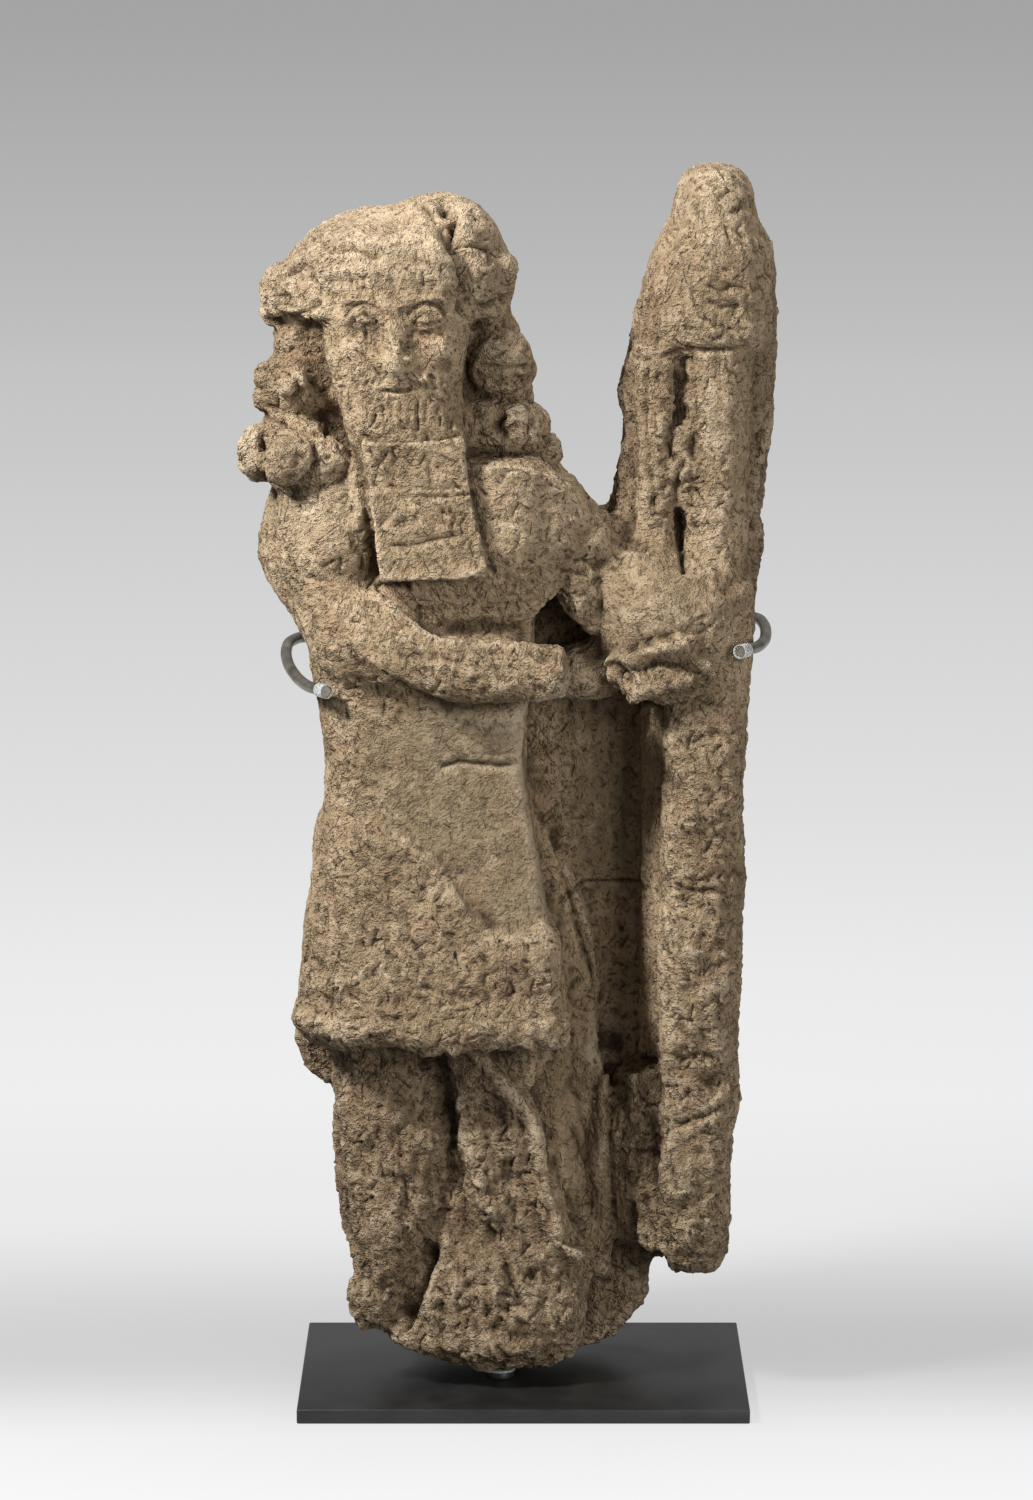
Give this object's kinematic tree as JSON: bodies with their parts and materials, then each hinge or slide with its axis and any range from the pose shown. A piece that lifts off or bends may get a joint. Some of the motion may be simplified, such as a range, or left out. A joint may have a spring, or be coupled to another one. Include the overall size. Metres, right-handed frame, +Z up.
{
  "type": "terracotta figure of a bearded man with a spear on a display mount",
  "caption": "Worn straw-tempered terracotta figure of a long-haired, bearded man in a kilt beside a tall spear, held upright by a steel display mount on a flat plate.",
  "frame": {"origin": "middle of the base plate's underside", "axes": "+Z up along the figure's height, the figure looks along -Y, +X towards the spear"},
  "size_m": [0.2236, 0.127, 0.5223],
  "materials": {
    "clay": "matte",
    "plate": "satin",
    "rod": "satin",
    "sleeve": "gloss"
  },
  "bodies": {
    "root": {"figure": "clay", "base_plate": "plate", "armature": "rod", "left_clip_sleeve": "sleeve", "right_clip_sleeve": "sleeve", "support_post": "plate", "support_pad": "sleeve"}
  },
  "joints": []
}
